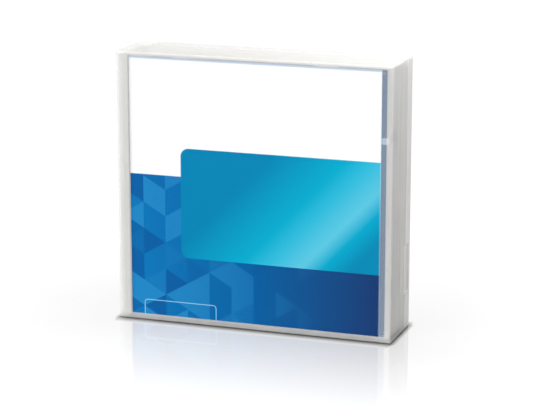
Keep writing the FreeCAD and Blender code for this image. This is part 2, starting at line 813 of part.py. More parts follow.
def make_shell_screws():
    """Four long screws with flat round heads and cross recesses, as separate solids."""
    screws = []
    for number, (x, y) in enumerate(screw_places(), start=1):
        screw = new_body(f"shell_screw_{number}", CARTRIDGE, x, y)
        head_low = "head_sink - head_height"
        turn(
            screw,
            ("0", head_low), ("head_radius", head_low), ("head_radius", "head_sink"),
            ("screw_radius", "head_sink"), ("screw_radius", "screw_end"), ("0", "screw_end"),
        )
        long, wide = "cross_length / 2", "cross_width / 2"
        for across, along in ((long, wide), (wide, long)):
            cut(
                screw, "XY", head_low, f"{head_low} + cross_depth", rectangle,
                f"-{across}", across, f"-{along}", along,
            )
        screws.append(screw)
    group = document.addObject("Part::Compound", "shell_screws")
    group.Label = "shell_screws"
    group.Links = screws
    return group


def make_access_door():
    """Sliding door over the leader pin, with finger grooves on its outer face."""
    body = new_body("access_door", CARTRIDGE)
    plate = ("door_left", "door_right", "door_outside", "door_inside")
    add(body, "XY", "door_low", "door_high", rectangle, *plate)
    low, high = "mouth_low + grip_pitch", "mouth_high - grip_pitch"
    lines = []
    for number in range(1, round(size("door_grips")) + 1):
        left = f"door_left + {number} * grip_pitch"
        lines.append((left, f"{left} + door_grip_width", low, high))
    cut(body, "XZ", "door_outside", "door_outside + door_grip", rectangles, *lines)
    return body


def make_door_spring():
    """Compression spring between the shell's stop and the door's rear edge."""
    body = new_body("door_spring", CARTRIDGE)
    along = FreeCAD.Rotation(FreeCAD.Vector(0, 1, 0), 90)
    body.Placement = FreeCAD.Placement(FreeCAD.Vector(), along)
    places = {
        "x": "cart_x + spring_stop",
        "y": "case_depth / 2 - (rail_top + spring_level)",
        "z": "cart_y + door_level",
    }
    for axis, formula in places.items():
        body.setExpression(f"Placement.Base.{axis}", bind(formula))
    radius = "door_spring_radius - door_spring_wire / 2"
    coil(body, radius, "door_spring_wire", "door_left - spring_stop", "door_spring_turns")
    return body


def make_leader_pin():
    """Steel pin at the tape's end, with a flange at each end."""
    body = new_body("leader_pin", CARTRIDGE, "leader_x", "-leader_y")
    low, high = "plate_wall + leader_play", "roof_inside - leader_play"
    turn(
        body,
        ("0", low), ("leader_flange", low), ("leader_flange", f"{low} + leader_flange_height"),
        ("leader_radius", f"{low} + leader_flange_height"),
        ("leader_radius", f"{high} - leader_flange_height"),
        ("leader_flange", f"{high} - leader_flange_height"), ("leader_flange", high), ("0", high),
    )
    return body


def make_pin_clips():
    """Two spring clips, one on each plate, that hold the leader pin's flanges."""
    clips = []
    levels = (("plate_wall", "plate_wall + clip_height"), ("roof_inside - clip_height", "roof_inside"))
    inside = "leader_flange + leader_play"
    outside = f"{inside} + clip_wall"
    for number, (low, high) in enumerate(levels, start=1):
        clip = new_body(f"pin_clip_{number}", CARTRIDGE, "leader_x", "-leader_y")
        add(
            clip, "XY", low, high, polygon,
            (f"-({outside})", "-clip_front"), (f"-({inside})", "-clip_front"),
            (f"-({inside})", "clip_back - clip_wall"), (inside, "clip_back - clip_wall"),
            (inside, "-clip_front"), (outside, "-clip_front"),
            (outside, "clip_back"), (f"-({outside})", "clip_back"),
        )
        clips.append(clip)
    group = document.addObject("Part::Compound", "pin_clips")
    group.Label = "pin_clips"
    group.Links = clips
    return group


def make_leader_tape():
    """The free end of the tape: a flat run from the pack's edge to the leader pin."""
    pin = FreeCAD.Vector(size("leader_x"), -size("leader_y"), 0)
    pack, thick = size("pack_radius + pack_play"), size("leader_tape_thick")
    wrap = size("leader_radius + pack_play")
    heading = math.atan2(pin.y, pin.x) + math.acos((pack - wrap) / pin.Length)
    out = FreeCAD.Vector(math.cos(heading), math.sin(heading), 0)
    start, end = out * pack, pin + out * wrap
    low = size("tape_low + tape_side_play")
    rise = FreeCAD.Vector(0, 0, low)
    outline = [start, end, end + out * thick, start + out * thick]
    wire = Part.makePolygon([point + rise for point in [*outline, start]])
    strip = Part.Face(wire).extrude(FreeCAD.Vector(0, 0, size("tape_width")))
    tape = document.addObject("Part::Feature", "leader_tape")
    tape.Label = "leader_tape"
    tape.Shape = strip
    stand(tape, CARTRIDGE)
    return tape


def make_reel_hub():
    """Hub with its lower flange, web, drive teeth below and brake teeth above the web."""
    body = new_body("reel_hub", CARTRIDGE)
    turn(
        body,
        ("0", "reel_base"), ("flange_radius", "reel_base"),
        ("flange_radius", "tape_low"), ("hub_radius", "tape_low"), ("hub_radius", "tape_high"),
        ("hub_inside", "tape_high"), ("hub_inside", "web_top"), ("0", "web_top"),
    )
    add(body, "XY", "ring_low", "reel_base", ring, "drive_ring_outer", "drive_ring_inner")
    tooth = add(
        body, "XY", "ring_low - drive_tooth_height", "ring_low", polygon,
        ("drive_ring_inner + drive_tooth_inset", "-drive_tooth_width / 2"),
        ("drive_ring_outer - drive_tooth_inset", "-drive_tooth_width / 2"),
        ("drive_ring_outer - drive_tooth_inset", "drive_tooth_width / 2"),
        ("drive_ring_inner + drive_tooth_inset", "drive_tooth_width / 2"),
    )
    repeat_round(body, "drive_teeth", tooth)
    lock = add(body, "XY", "web_top", "hub_teeth_top", polygon, *brake_tooth("0"))
    repeat_round(body, "brake_teeth", lock)
    hole = cut(body, "XY", "reel_base", "web_top", circle, "leg_circle", "0", "leg_hole_radius")
    repeat_round(body, "release_legs", hole)
    return body


def brake_tooth(middle):
    """One brake tooth's corners, centred on an angle in degrees given as a formula."""
    start, end = f"({middle}) - brake_tooth_angle / 2", f"({middle}) + brake_tooth_angle / 2"
    corners = []
    for radius, angle in (
        ("brake_tooth_inner", start), ("brake_tooth_outer", start),
        ("brake_tooth_outer", end), ("brake_tooth_inner", end),
    ):
        corners.append((f"{radius} * cos({angle})", f"{radius} * sin({angle})"))
    return corners


def make_upper_flange():
    """Flange welded on top of the hub."""
    body = new_body("upper_flange", CARTRIDGE)
    top = "tape_high + flange_thick"
    turn(
        body,
        ("hub_inside", "tape_high"), ("flange_radius", "tape_high"),
        ("flange_radius", top), ("hub_inside", top),
    )
    return body


def make_tape_pack():
    """The wound tape, as one solid ring."""
    body = new_body("tape_pack", CARTRIDGE)
    low = "tape_low + tape_side_play"
    add(body, "XY", low, f"{low} + tape_width", ring, "pack_radius", "hub_radius + pack_play")
    return body


def make_drive_plate():
    """Steel ring under the hub that the drive's magnet holds."""
    body = new_body("drive_plate", CARTRIDGE)
    add(body, "XY", "reel_base - steel_thick", "reel_base", ring, "steel_outer", "steel_inner")
    return body


def make_brake_button():
    """Toothed brake disc with a keyed socket that slides on the roof's post."""
    body = new_body("brake_button", CARTRIDGE)
    turn(
        body,
        ("0", "brake_low"), ("brake_radius", "brake_low"), ("brake_radius", "brake_top"),
        ("socket_radius", "brake_top"), ("socket_radius", "socket_top"),
        ("socket_bore", "socket_top"), ("socket_bore", "brake_top"), ("0", "brake_top"),
    )
    slot_x = "post_radius + key_reach + key_play"
    slot_y = "key_width / 2 + key_play"
    cut(
        body, "XY", "brake_top", "socket_top", rectangle,
        f"-({slot_x})", slot_x, f"-({slot_y})", slot_y,
    )
    tooth = add(body, "XY", "brake_teeth_low", "brake_low", polygon, *brake_tooth("180 / brake_teeth"))
    repeat_round(body, "brake_teeth", tooth)
    return body


def make_brake_spring():
    """Coil spring between the brake disc and the roof."""
    body = new_body("brake_spring", CARTRIDGE, "0", "0", "brake_top")
    coil(body, "brake_spring_radius", "brake_spring_wire", "roof_inside - brake_top", "brake_spring_turns")
    return body


def make_release_pad():
    """Three-legged pad that the drive pushes up to lift the brake."""
    body = new_body("release_pad", CARTRIDGE)
    add(body, "XY", "release_low", "release_top", circle, "0", "0", "release_radius")
    arm = add(
        body, "XY", "release_low", "release_top", rectangle,
        "0", "leg_circle", "-arm_width / 2", "arm_width / 2",
    )
    leg = add(
        body, "XY", "release_low - leg_length", "release_top", circle,
        "leg_circle", "0", "leg_radius",
    )
    repeat_round(body, "release_legs", arm, leg)
    return body


def make_write_protect_tab():
    """Slider behind the rear wall, with a nub in the wall's window."""
    body = new_body("write_protect_tab", CARTRIDGE)
    add(
        body, "YZ", "tab_front", "tab_back", rectangle,
        "tab_nub_start - tab_plate_margin", "tab_nub_end + tab_plate_margin",
        "plate_wall + tab_nub_play", "tab_window_high + tab_plate_thick",
    )
    add(
        body, "YZ", "tab_front - tab_nub_depth", "tab_front", rectangle,
        "tab_nub_start", "tab_nub_end", "tab_window_low + tab_nub_play", "tab_window_high - tab_nub_play",
    )
    return body


def make_memory_chip():
    """Memory board that stands at 45 degrees across the rear corner."""
    body = new_body("memory_chip", CARTRIDGE, "chip_inset - end_inside", "chip_inset - flank_inside")
    across = FreeCAD.Rotation(FreeCAD.Vector(0, 0, 1), -45)
    body.Placement.Rotation = body.Placement.Rotation.multiply(across)
    half = "chip_length / 2"
    low, high = "plate_wall", "plate_wall + chip_height"
    add(body, "XY", low, high, rectangle, f"-{half}", half, "-chip_thick / 2", "chip_thick / 2")
    return body


MAKERS = (
    make_case_lid,
    make_case_tray,
    make_insert_card,
    make_lower_shell,
    make_upper_shell,
    make_shell_screws,
    make_access_door,
    make_door_spring,
    make_leader_pin,
    make_pin_clips,
    make_leader_tape,
    make_reel_hub,
    make_upper_flange,
    make_tape_pack,
    make_drive_plate,
    make_brake_button,
    make_brake_spring,
    make_release_pad,
    make_write_protect_tab,
    make_memory_chip,
)


def check_document(parts):
    """Stops the build if any object failed, or a cut took nothing away."""
    for item in document.Objects:
        if {"Invalid", "Error"} & set(item.State):
            raise RuntimeError(f"{item.Name} failed: {item.State}")
    for item in document.findObjects("PartDesign::Pocket"):
        taken = item.BaseFeature.Shape.Volume - item.Shape.Volume
        if taken <= 0:
            raise RuntimeError(f"{item.Name} cuts nothing")
    for part in parts:
        if part.Shape.isNull() or not part.Shape.isValid():
            raise RuntimeError(f"{part.Label} has no valid shape")


def main():
    """Builds every sub-part, checks the document and writes one STEP file for each."""
    fill_sheet()
    parts = [make() for make in MAKERS]
    document.recompute()
    check_document(parts)
    os.makedirs("parts", exist_ok=True)
    for part in parts:
        part.Shape.exportStep(f"parts/{part.Label}.step")
        print(part.Label, len(part.Shape.Solids), part.Shape.optimalBoundingBox(False))


main()
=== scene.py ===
"""Finishes, springs, table and light for a data tape cartridge in its clear library case.

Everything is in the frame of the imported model: the case stands on its lower edge, its front
with the title card faces -Y, its hinge is on the left and +Z is up. The classes hold their
sizes in millimetres, unless they say metres, and Blender is given metres.
"""

import json
import logging
import math
from dataclasses import dataclass
from enum import Enum
from typing import Union

import bmesh
import bpy
from mathutils import Matrix, Vector

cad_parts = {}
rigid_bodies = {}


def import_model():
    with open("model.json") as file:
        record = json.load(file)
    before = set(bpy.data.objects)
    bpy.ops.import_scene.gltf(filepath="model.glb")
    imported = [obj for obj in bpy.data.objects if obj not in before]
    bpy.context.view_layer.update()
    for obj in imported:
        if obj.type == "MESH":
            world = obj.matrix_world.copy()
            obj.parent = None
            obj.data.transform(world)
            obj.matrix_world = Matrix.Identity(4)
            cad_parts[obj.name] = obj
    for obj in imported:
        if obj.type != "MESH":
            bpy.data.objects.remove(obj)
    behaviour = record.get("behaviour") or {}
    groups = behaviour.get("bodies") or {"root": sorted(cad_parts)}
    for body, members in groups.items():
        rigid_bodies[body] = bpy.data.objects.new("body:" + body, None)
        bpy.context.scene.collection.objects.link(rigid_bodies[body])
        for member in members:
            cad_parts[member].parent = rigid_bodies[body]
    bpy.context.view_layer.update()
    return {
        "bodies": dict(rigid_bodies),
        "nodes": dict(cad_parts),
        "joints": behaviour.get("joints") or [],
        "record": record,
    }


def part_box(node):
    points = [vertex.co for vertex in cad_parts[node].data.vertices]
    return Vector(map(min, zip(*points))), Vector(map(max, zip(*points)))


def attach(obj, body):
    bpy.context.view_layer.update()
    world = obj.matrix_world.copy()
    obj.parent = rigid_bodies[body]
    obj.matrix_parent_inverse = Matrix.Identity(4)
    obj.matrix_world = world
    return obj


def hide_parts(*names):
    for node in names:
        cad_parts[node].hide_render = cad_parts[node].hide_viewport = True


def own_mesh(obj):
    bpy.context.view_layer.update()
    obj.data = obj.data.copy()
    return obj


MM = 0.001
LOG = logging.getLogger("library_case")

Colour = tuple[float, float, float]
Place = tuple[float, float, float]
Value = Union["Wire", float, int]
Stops = list[tuple[float, Colour]]

WHITE: Colour = (1.0, 1.0, 1.0)
BLACK: Colour = (0.0, 0.0, 0.0)


class Fold(Enum):
    """How a Math node treats its inputs."""

    ADD = "ADD"
    SUBTRACT = "SUBTRACT"
    MULTIPLY = "MULTIPLY"
    DIVIDE = "DIVIDE"
    MAXIMUM = "MAXIMUM"
    MINIMUM = "MINIMUM"
    ABSOLUTE = "ABSOLUTE"
    FLOOR = "FLOOR"
    SQUARE_ROOT = "SQRT"
    SINE = "SINE"


class Facing(Enum):
    """Which way a window looks along Y."""

    FRONT = -1.0
    BACK = 1.0


def srgb(red: int, green: int, blue: int) -> Colour:
    """Turns a display colour into the linear one that a shader takes.

    Args:
        red: Red, 0 to 255.
        green: Green, 0 to 255.
        blue: Blue, 0 to 255.

    Returns:
        The linear colour, each channel 0 to 1.
    """
    knee, slope, offset, gamma = 0.04045, 12.92, 0.055, 2.4
    channels = []
    for level in (red / 255, green / 255, blue / 255):
        curved = ((level + offset) / (1 + offset)) ** gamma
        channels.append(level / slope if level <= knee else curved)
    return tuple(channels)


def scaled(tone: Colour, factor: float) -> Colour:
    """A colour made darker or lighter by a factor."""
    return tuple(channel * factor for channel in tone)


class Wire:
    """A node's output socket that can be used in Python sums."""

    def __init__(self, shader: "Shader", socket: bpy.types.NodeSocket) -> None:
        """Keeps the socket and the shader it belongs to."""
        self.shader = shader
        self.socket = socket

    def fold(self, how: Fold, *others: Value, clamp: bool = False) -> "Wire":
        """Feeds this value and others through one Math node.

        Args:
            how: The operation.
            others: The second input, where it has one.
            clamp: Whether the result is held between 0 and 1.

        Returns:
            The node's result.
        """
        return self.shader.math(how, self, *others, clamp=clamp)

    def __add__(self, other: Value) -> "Wire":
        """Sum."""
        return self.fold(Fold.ADD, other)

    __radd__ = __add__

    def __sub__(self, other: Value) -> "Wire":
        """Difference."""
        return self.fold(Fold.SUBTRACT, other)

    def __rsub__(self, other: Value) -> "Wire":
        """Difference with a plain number first."""
        return self.shader.math(Fold.SUBTRACT, other, self)

    def __mul__(self, other: Value) -> "Wire":
        """Product."""
        return self.fold(Fold.MULTIPLY, other)

    __rmul__ = __mul__

    def __truediv__(self, other: Value) -> "Wire":
        """Quotient."""
        return self.fold(Fold.DIVIDE, other)

    def __abs__(self) -> "Wire":
        """Size without sign."""
        return self.fold(Fold.ABSOLUTE)

    def clamped(self) -> "Wire":
        """The value held between 0 and 1."""
        return self.fold(Fold.ADD, 0.0, clamp=True)

    def above(self, edge: Value, soft: float) -> "Wire":
        """1 where the value is over an edge, 0 where it is under, with a soft step.

        Args:
            edge: Where the step is.
            soft: The step's width.

        Returns:
            The mask.
        """
        return ((self - edge) / soft).fold(Fold.ADD, 0.5, clamp=True)

    def below(self, edge: Value, soft: float) -> "Wire":
        """1 where the value is under an edge, with a soft step."""
        return 1.0 - self.above(edge, soft)


class Shader:
    """The node tree of a material or of the world, built from Python."""

    def __init__(self, owner: bpy.types.Material | bpy.types.World) -> None:
        """Empties the owner's tree but for one output node.

        Args:
            owner: The material or the world that the tree belongs to.
        """
        owner.use_nodes = True
        self.owner = owner
        self.tree = owner.node_tree
        self.tree.nodes.clear()
        kind = "World" if isinstance(owner, bpy.types.World) else "Material"
        self.output = self.tree.nodes.new(f"ShaderNodeOutput{kind}")
        self._place: Wire | None = None

    @classmethod
    def of_material(cls, name: str) -> "Shader":
        """Starts a new material."""
        return cls(bpy.data.materials.new(name))

    @staticmethod
    def set_stops(ramp: bpy.types.Node, stops: Stops) -> None:
        """Puts the stops of a colour ramp in place.

        Args:
            ramp: The ramp's node.
            stops: The place and colour of each stop, in order.
        """
        marks = ramp.color_ramp.elements
        for number, (place, tone) in enumerate(stops):
            mark = marks[number] if number < len(marks) else marks.new(place)
            mark.position, mark.color = place, (*tone, 1.0)

    def node(self, kind: str, settings: dict[str, object] | None = None,
             inputs: dict[object, object] | None = None) -> bpy.types.Node:
        """Adds a node, sets it up and joins its inputs.

        Args:
            kind: The node's type.
            settings: The node's own properties, which are set first, or a ramp's "stops".
            inputs: A value or a Wire for each input, by name or number.

        Returns:
            The node.
        """
        made = self.tree.nodes.new(kind)
        for key, value in (settings or {}).items():
            if key == "stops":
                self.set_stops(made, value)
            else:
                setattr(made, key, value)
        for key, value in (inputs or {}).items():
            if isinstance(value, Wire):
                self.tree.links.new(value.socket, made.inputs[key])
            else:
                made.inputs[key].default_value = value
        return made

    def out(self, node: bpy.types.Node, name: Union[str, int] = 0) -> Wire:
        """A node's output as a Wire."""
        return Wire(self, node.outputs[name])

    def math(self, how: Fold, *values: Value, clamp: bool = False) -> Wire:
        """Adds one Math node.

        Args:
            how: The operation.
            values: Its inputs, in order.
            clamp: Whether the result is held between 0 and 1.

        Returns:
            The node's result.
        """
        made = self.node("ShaderNodeMath", {"operation": how.value, "use_clamp": clamp},
                         dict(enumerate(values)))
        return self.out(made)

    def place(self) -> Wire:
        """Gives the surface's Object coordinates, from one node for the whole tree.

        Returns:
            The place as a vector, in metres.
        """
        if self._place is None:
            self._place = self.out(self.node("ShaderNodeTexCoord"), "Object")
        return self._place

    def xyz(self) -> tuple[Wire, Wire, Wire]:
        """The surface's place in millimetres, as three numbers."""
        parts = self.node("ShaderNodeSeparateXYZ", None, {0: self.place()})
        return tuple(self.out(parts, axis) * (1 / MM) for axis in "XYZ")

    def stretched(self, scale: tuple[float, float, float]) -> Wire:
        """The surface's place with each axis scaled."""
        made = self.node("ShaderNodeVectorMath", {"operation": "MULTIPLY"},
                         {0: self.place(), 1: scale})
        return self.out(made)

    def noise(self, per_mm: float, detail: float = 2.0, place: Wire | None = None) -> Wire:
        """Adds soft noise.

        Args:
            per_mm: How many blobs lie in a millimetre.
            detail: Octaves of finer noise.
            place: Coordinates to use, or the surface's own.

        Returns:
            The noise, between 0 and 1.
        """
        made = self.node("ShaderNodeTexNoise", {"noise_dimensions": "3D"},
                         {"Vector": place or self.place(), "Scale": per_mm / MM,
                          "Detail": detail})
        return self.out(made, "Fac")

    def mix(self, share: Value, first: Wire | Colour, second: Wire | Colour) -> Wire:
        """Mixes two colours.

        Args:
            share: 0 gives the first colour and 1 the second.
            first: The colour at 0.
            second: The colour at 1.

        Returns:
            The mixed colour.
        """
        # The sockets for colours come after those for numbers and vectors.
        low_end, high_end, colour_out = 6, 7, 2
        ends = [end if isinstance(end, Wire) else (*end, 1.0) for end in (first, second)]
        made = self.node("ShaderNodeMix", {"data_type": "RGBA"},
                         {0: share, low_end: ends[0], high_end: ends[1]})
        return self.out(made, colour_out)

    def bump(self, height: Wire, depth: float, strength: float = 0.5) -> Wire:
        """Turns a height into a bent normal.

        Args:
            height: The height, 0 to 1.
            depth: How high 1 is, in millimetres.
            strength: How much of the bend is kept.

        Returns:
            The normal.
        """
        made = self.node("ShaderNodeBump", None,
                         {"Height": height, "Distance": depth * MM, "Strength": strength})
        return self.out(made)

    def seen(self) -> Wire:
        """Tells rays that show something to the eye from those that only light it.

        Returns:
            1 for camera, glossy and transmission rays, and 0 for the others.
        """
        path = self.node("ShaderNodeLightPath")
        direct_or_mirrored = self.out(path, "Is Camera Ray") + self.out(path, "Is Glossy Ray")
        total = direct_or_mirrored + self.out(path, "Is Transmission Ray")
        return total.fold(Fold.MINIMUM, 1.0)

    def finish(self, surface: bpy.types.Node) -> bpy.types.Material | bpy.types.World:
        """Joins the last shader to the output.

        Args:
            surface: The node of that shader.

        Returns:
            The material or the world that the tree belongs to.
        """
        self.tree.links.new(surface.outputs[0], self.output.inputs["Surface"])
        return self.owner


def diagonal(first: Wire, second: Wire) -> Wire:
    """The length of the diagonal over two sides."""
    return (first * first + second * second).fold(Fold.SQUARE_ROOT)


def rounded_box(across: Wire, along: Wire, middle: tuple[float, float],
                half: tuple[float, float], radius: float) -> Wire:
    """Signed distance to a rectangle with round corners, in millimetres.

    Args:
        across: First coordinate.
        along: Second coordinate.
        middle: The rectangle's centre.
        half: Half its sizes.
        radius: Corner radius.

    Returns:
        The distance, below zero inside.
    """
    out_x = abs(across - middle[0]) - (half[0] - radius)
    out_y = abs(along - middle[1]) - (half[1] - radius)
    corner = diagonal(out_x.fold(Fold.MAXIMUM, 0.0), out_y.fold(Fold.MAXIMUM, 0.0))
    inside = out_x.fold(Fold.MAXIMUM, out_y).fold(Fold.MINIMUM, 0.0)
    return corner + inside - radius


@dataclass(frozen=True)
class ClearPlastic:
    """Clear styrene whose walls carry a fine frosted grain.

    The frosting is a share of light that each skin stops; what lies behind shows through
    the rest. A window in one skin is polished on its left and thinly frosted on its right.

    Attributes:
        name: The material's name.
        window: The window's left, right, low and high edges.
        face: The Y at which the window's skin ends inside the wall.
        facing: Which way the window looks.
        polished_to: The X up to which the window is polished.
        tint: Colour of the frosting.
        strip_tint: Colour of the window's thinly frosted strip.
        shade: How dark the tint is under a cloud, as a factor.
        shade_cover: How much of that darkness the densest cloud shows.
        frost: Share of light that a frosted skin stops.
        strip_frost: Share that the strip stops.
        polished_frost: Share that the polished pane stops.
        even_share: Part of the frost that is the same everywhere.
        cloud_share: Part of it that soft clouds add.
        flow_share: Part of it that the streaks of the mould's flow add.
        cloud_scale: Clouds in a millimetre.
        grain_scale: Specks of grain in a millimetre.
        flow_scale: Streaks in a millimetre.
        flow: How the streaks are stretched along X, Y and Z.
        roughness: Roughness of the frosted skin.
        grain_rough: How much the grain changes it.
        gloss: Roughness of the window.
        grain_depth: Depth of the grain.
        edge_soft: Width of the window's soft edge.
        strip_soft: Width of the soft edge between pane and strip.
        face_soft: Width of the window's soft edge in depth.
        ior: Index of refraction.
    """

    name: str
    window: tuple[float, float, float, float]
    face: float
    facing: Facing
    polished_to: float
    tint: Colour = (0.915, 0.908, 0.888)
    strip_tint: Colour = (0.60, 0.77, 1.0)
    shade: float = 0.97
    shade_cover: float = 0.5
    frost: float = 0.44
    strip_frost: float = 0.19
    polished_frost: float = 0.002
    even_share: float = 0.70
    cloud_share: float = 0.28
    flow_share: float = 0.32
    cloud_scale: float = 0.05
    grain_scale: float = 1.6
    flow_scale: float = 0.55
    flow: tuple[float, float, float] = (0.25, 1.0, 0.03)
    roughness: float = 0.34
    grain_rough: float = 0.12
    gloss: float = 0.08
    grain_depth: float = 0.02
    edge_soft: float = 0.25
    strip_soft: float = 0.2
    face_soft: float = 0.3
    ior: float = 1.49

    def pane(self, x: Wire, y: Wire, z: Wire) -> Wire:
        """Marks the window's skin.

        Args:
            x: Place along X.
            y: Place along Y.
            z: Place along Z.

        Returns:
            1 in the window and 0 elsewhere.
        """
        left, right, low, high = self.window
        outward = self.facing.value
        skin = (y * outward).above(self.face * outward, self.face_soft)
        wide = x.above(left, self.edge_soft) * x.below(right, self.edge_soft)
        tall = z.above(low, self.edge_soft) * z.below(high, self.edge_soft)
        return wide * tall * skin

    def material(self) -> bpy.types.Material:
        """Builds the material.

        Returns:
            The material.
        """
        shader = Shader.of_material(self.name)
        x, y, z = shader.xyz()
        cloud = shader.noise(self.cloud_scale, detail=3.0)
        grain = shader.noise(self.grain_scale, detail=4.0)
        flow = shader.noise(self.flow_scale, detail=3.0, place=shader.stretched(self.flow))
        pane = self.pane(x, y, z)
        polished = pane * x.below(self.polished_to, self.strip_soft)
        strip, wall = pane - polished, 1.0 - pane
        frost = self.frost * (self.even_share + self.cloud_share * cloud + self.flow_share * flow)
        cover = frost * wall + self.strip_frost * strip + self.polished_frost * polished
        rough = self.roughness + self.grain_rough * (grain - 0.5)
        tone = shader.mix(cloud * self.shade_cover, self.tint, scaled(self.tint, self.shade))
        surface = shader.node("ShaderNodeBsdfPrincipled", None, {
            "Base Color": shader.mix(strip, tone, self.strip_tint),
            "Roughness": rough * wall + self.gloss * pane, "Alpha": cover,
            "Normal": shader.bump(grain, self.grain_depth), "IOR": self.ior})
        return shader.finish(surface)


@dataclass(frozen=True)
class PrintedCard:
    """Coated card printed in fields of white, blue and sea blue.

    Attributes:
        name: The material's name.
        low: X and Z of the card's lowest corner.
        high: X and Z of its highest corner.
        front: The Y up to which the card is printed.
        paper: The white upper field.
        stock: The bare card on the back and the edges.
        edge: Colour of the painted shadow line along the card's top edge.
        painted_shadow_height: How high that line is.
        deep: The blue lower field at its left, middle and right.
        blue_top: The Z at which it ends.
        facet: Side of the triangles on it.
        facet_share: Share of them that is pale, and share that is dark.
        facet_soft: How softly a triangle's level turns it pale or dark.
        facet_fade: Middle and width of the stretch over which they fade to the right.
        pale_facet: Colour of the pale ones.
        pale_cover: How much that colour covers.
        dark_facet: Colour of the dark ones.
        dark_cover: How much that colour covers.
        panel_left: Left edge of the sea-blue panel, which runs off the card on the right.
        panel_low: Its low edge.
        panel_high: Its high edge.
        panel_corner: Its corner radius.
        sea: Its colours across the slanting light, as places and colours.
        sea_length: How far those places run.
        slant: The direction across the light, as shares of X and -Z.
        slant_from: X and Z of the light's zero place.
        outline_middle: X and Z of the outlined box's centre, low on the card.
        outline_half: Half its sizes.
        outline_corner: Its corner radius.
        outline_line: Half its line's width.
        outline_ink: Its line's colour.
        outline_cover: How much that colour covers.
        crisp: Width of a printed edge.
        front_soft: Width of the print's soft edge in depth.
        edge_soft: Width of the top line's soft edge.
        fibre_scale: Fibres in a millimetre.
        fibre_shade: How much they darken the print.
        fibre_depth: How deep they are.
        roughness: Roughness between the fibres.
        fibre_rough: How much the fibres add to it.
        ior: The coating's index of refraction.
        shine: Level of its reflection.
    """

    name: str
    low: tuple[float, float]
    high: tuple[float, float]
    front: float
    paper: Colour = srgb(252, 252, 252)
    stock: Colour = srgb(226, 227, 227)
    edge: Colour = srgb(206, 222, 243)
    painted_shadow_height: float = 0.8
    deep: tuple[Colour, Colour, Colour] = (srgb(8, 119, 185), srgb(0, 94, 159), srgb(24, 57, 112))
    blue_top: float = 60.9
    facet: float = 9.5
    facet_share: float = 0.28
    facet_soft: float = 0.1
    facet_fade: tuple[float, float] = (-2.0, 60.0)
    pale_facet: Colour = srgb(42, 145, 205)
    pale_cover: float = 0.55
    dark_facet: Colour = srgb(6, 76, 148)
    dark_cover: float = 0.6
    panel_left: float = -31.1
    panel_low: float = 27.2
    panel_high: float = 72.6
    panel_corner: float = 3.4
    sea: tuple[tuple[float, Colour], ...] = (
        (-46.0, srgb(0, 132, 180)), (-23.5, srgb(0, 171, 206)), (-16.0, srgb(48, 187, 219)),
        (-6.0, srgb(92, 200, 226)), (0.0, srgb(0, 168, 205)), (8.0, srgb(0, 138, 181)))
    sea_length: float = 54.0
    slant: tuple[float, float] = (0.72, 0.69)
    slant_from: tuple[float, float] = (31.0, 30.0)
    outline_middle: tuple[float, float] = (-31.8, 4.1)
    outline_half: tuple[float, float] = (15.6, 4.1)
    outline_corner: float = 1.3
    outline_line: float = 0.14
    outline_ink: Colour = srgb(165, 224, 250)
    outline_cover: float = 0.85
    crisp: float = 0.15
    front_soft: float = 0.1
    edge_soft: float = 0.2
    fibre_scale: float = 3.0
    fibre_shade: float = 0.04
    fibre_depth: float = 0.01
    roughness: float = 0.38
    fibre_rough: float = 0.1
    ior: float = 1.45
    shine: float = 0.02

    def facets(self, shader: Shader, x: Wire, z: Wire) -> Wire:
        """Draws a level for each triangle of a regular net.

        Args:
            shader: The tree that it is built in.
            x: Place along X.
            z: Place along Z.

        Returns:
            The triangle's level, 0 to 1.
        """
        flat, steep = x * 0.5, z * (math.sqrt(3) / 2)
        lanes = (x / self.facet, (flat + steep) / self.facet, (flat - steep) / self.facet)
        cells = shader.node("ShaderNodeCombineXYZ", None,
                            {axis: lane.fold(Fold.FLOOR) for axis, lane in enumerate(lanes)})
        level = shader.node("ShaderNodeTexWhiteNoise", {"noise_dimensions": "3D"},
                            {"Vector": shader.out(cells)})
        return shader.out(level, "Value")

    def blue_field(self, shader: Shader, x: Wire, z: Wire) -> Wire:
        """Prints the blue lower field, with quiet facets on its left.

        Args:
            shader: The tree that it is built in.
            x: Place along X.
            z: Place along Z.

        Returns:
            The field's colour.
        """
        left, middle, right = self.deep
        share = (x - self.low[0]) / (self.high[0] - self.low[0])
        tone = shader.mix((share * 2.0).fold(Fold.MINIMUM, 1.0), left, middle)
        tone = shader.mix((share * 2.0 - 1.0).fold(Fold.MAXIMUM, 0.0), tone, right)
        level = self.facets(shader, x, z)
        fade = x.below(*self.facet_fade)
        pale = level.above(1 - self.facet_share, self.facet_soft) * fade * self.pale_cover
        dark = level.below(self.facet_share, self.facet_soft) * fade * self.dark_cover
        return shader.mix(dark, shader.mix(pale, tone, self.pale_facet), self.dark_facet)

    def sea_light(self, shader: Shader, x: Wire, z: Wire) -> Wire:
        """Prints the sea-blue panel's slanting light.

        Args:
            shader: The tree that it is built in.
            x: Place along X.
            z: Place along Z.

        Returns:
            The panel's colour.
        """
        start = self.sea[0][0]
        stops = [((place - start) / self.sea_length, tone) for place, tone in self.sea]
        from_x, from_z = self.slant_from
        across = (x - from_x) * self.slant[0] - (z - from_z) * self.slant[1]
        ramp = shader.node("ShaderNodeValToRGB", {"stops": stops},
                           {0: (across - start) / self.sea_length})
        return shader.out(ramp, "Color")

    def panel(self, x: Wire, z: Wire) -> Wire:
        """Marks the sea-blue panel, whose right end runs off the card.

        Args:
            x: Place along X.
            z: Place along Z.

        Returns:
            1 on the panel and 0 elsewhere.
        """
        right = self.high[0] + self.panel_corner
        middle = ((self.panel_left + right) / 2, (self.panel_low + self.panel_high) / 2)
        half = ((right - self.panel_left) / 2, (self.panel_high - self.panel_low) / 2)
        return rounded_box(x, z, middle, half, self.panel_corner).below(0.0, self.crisp)

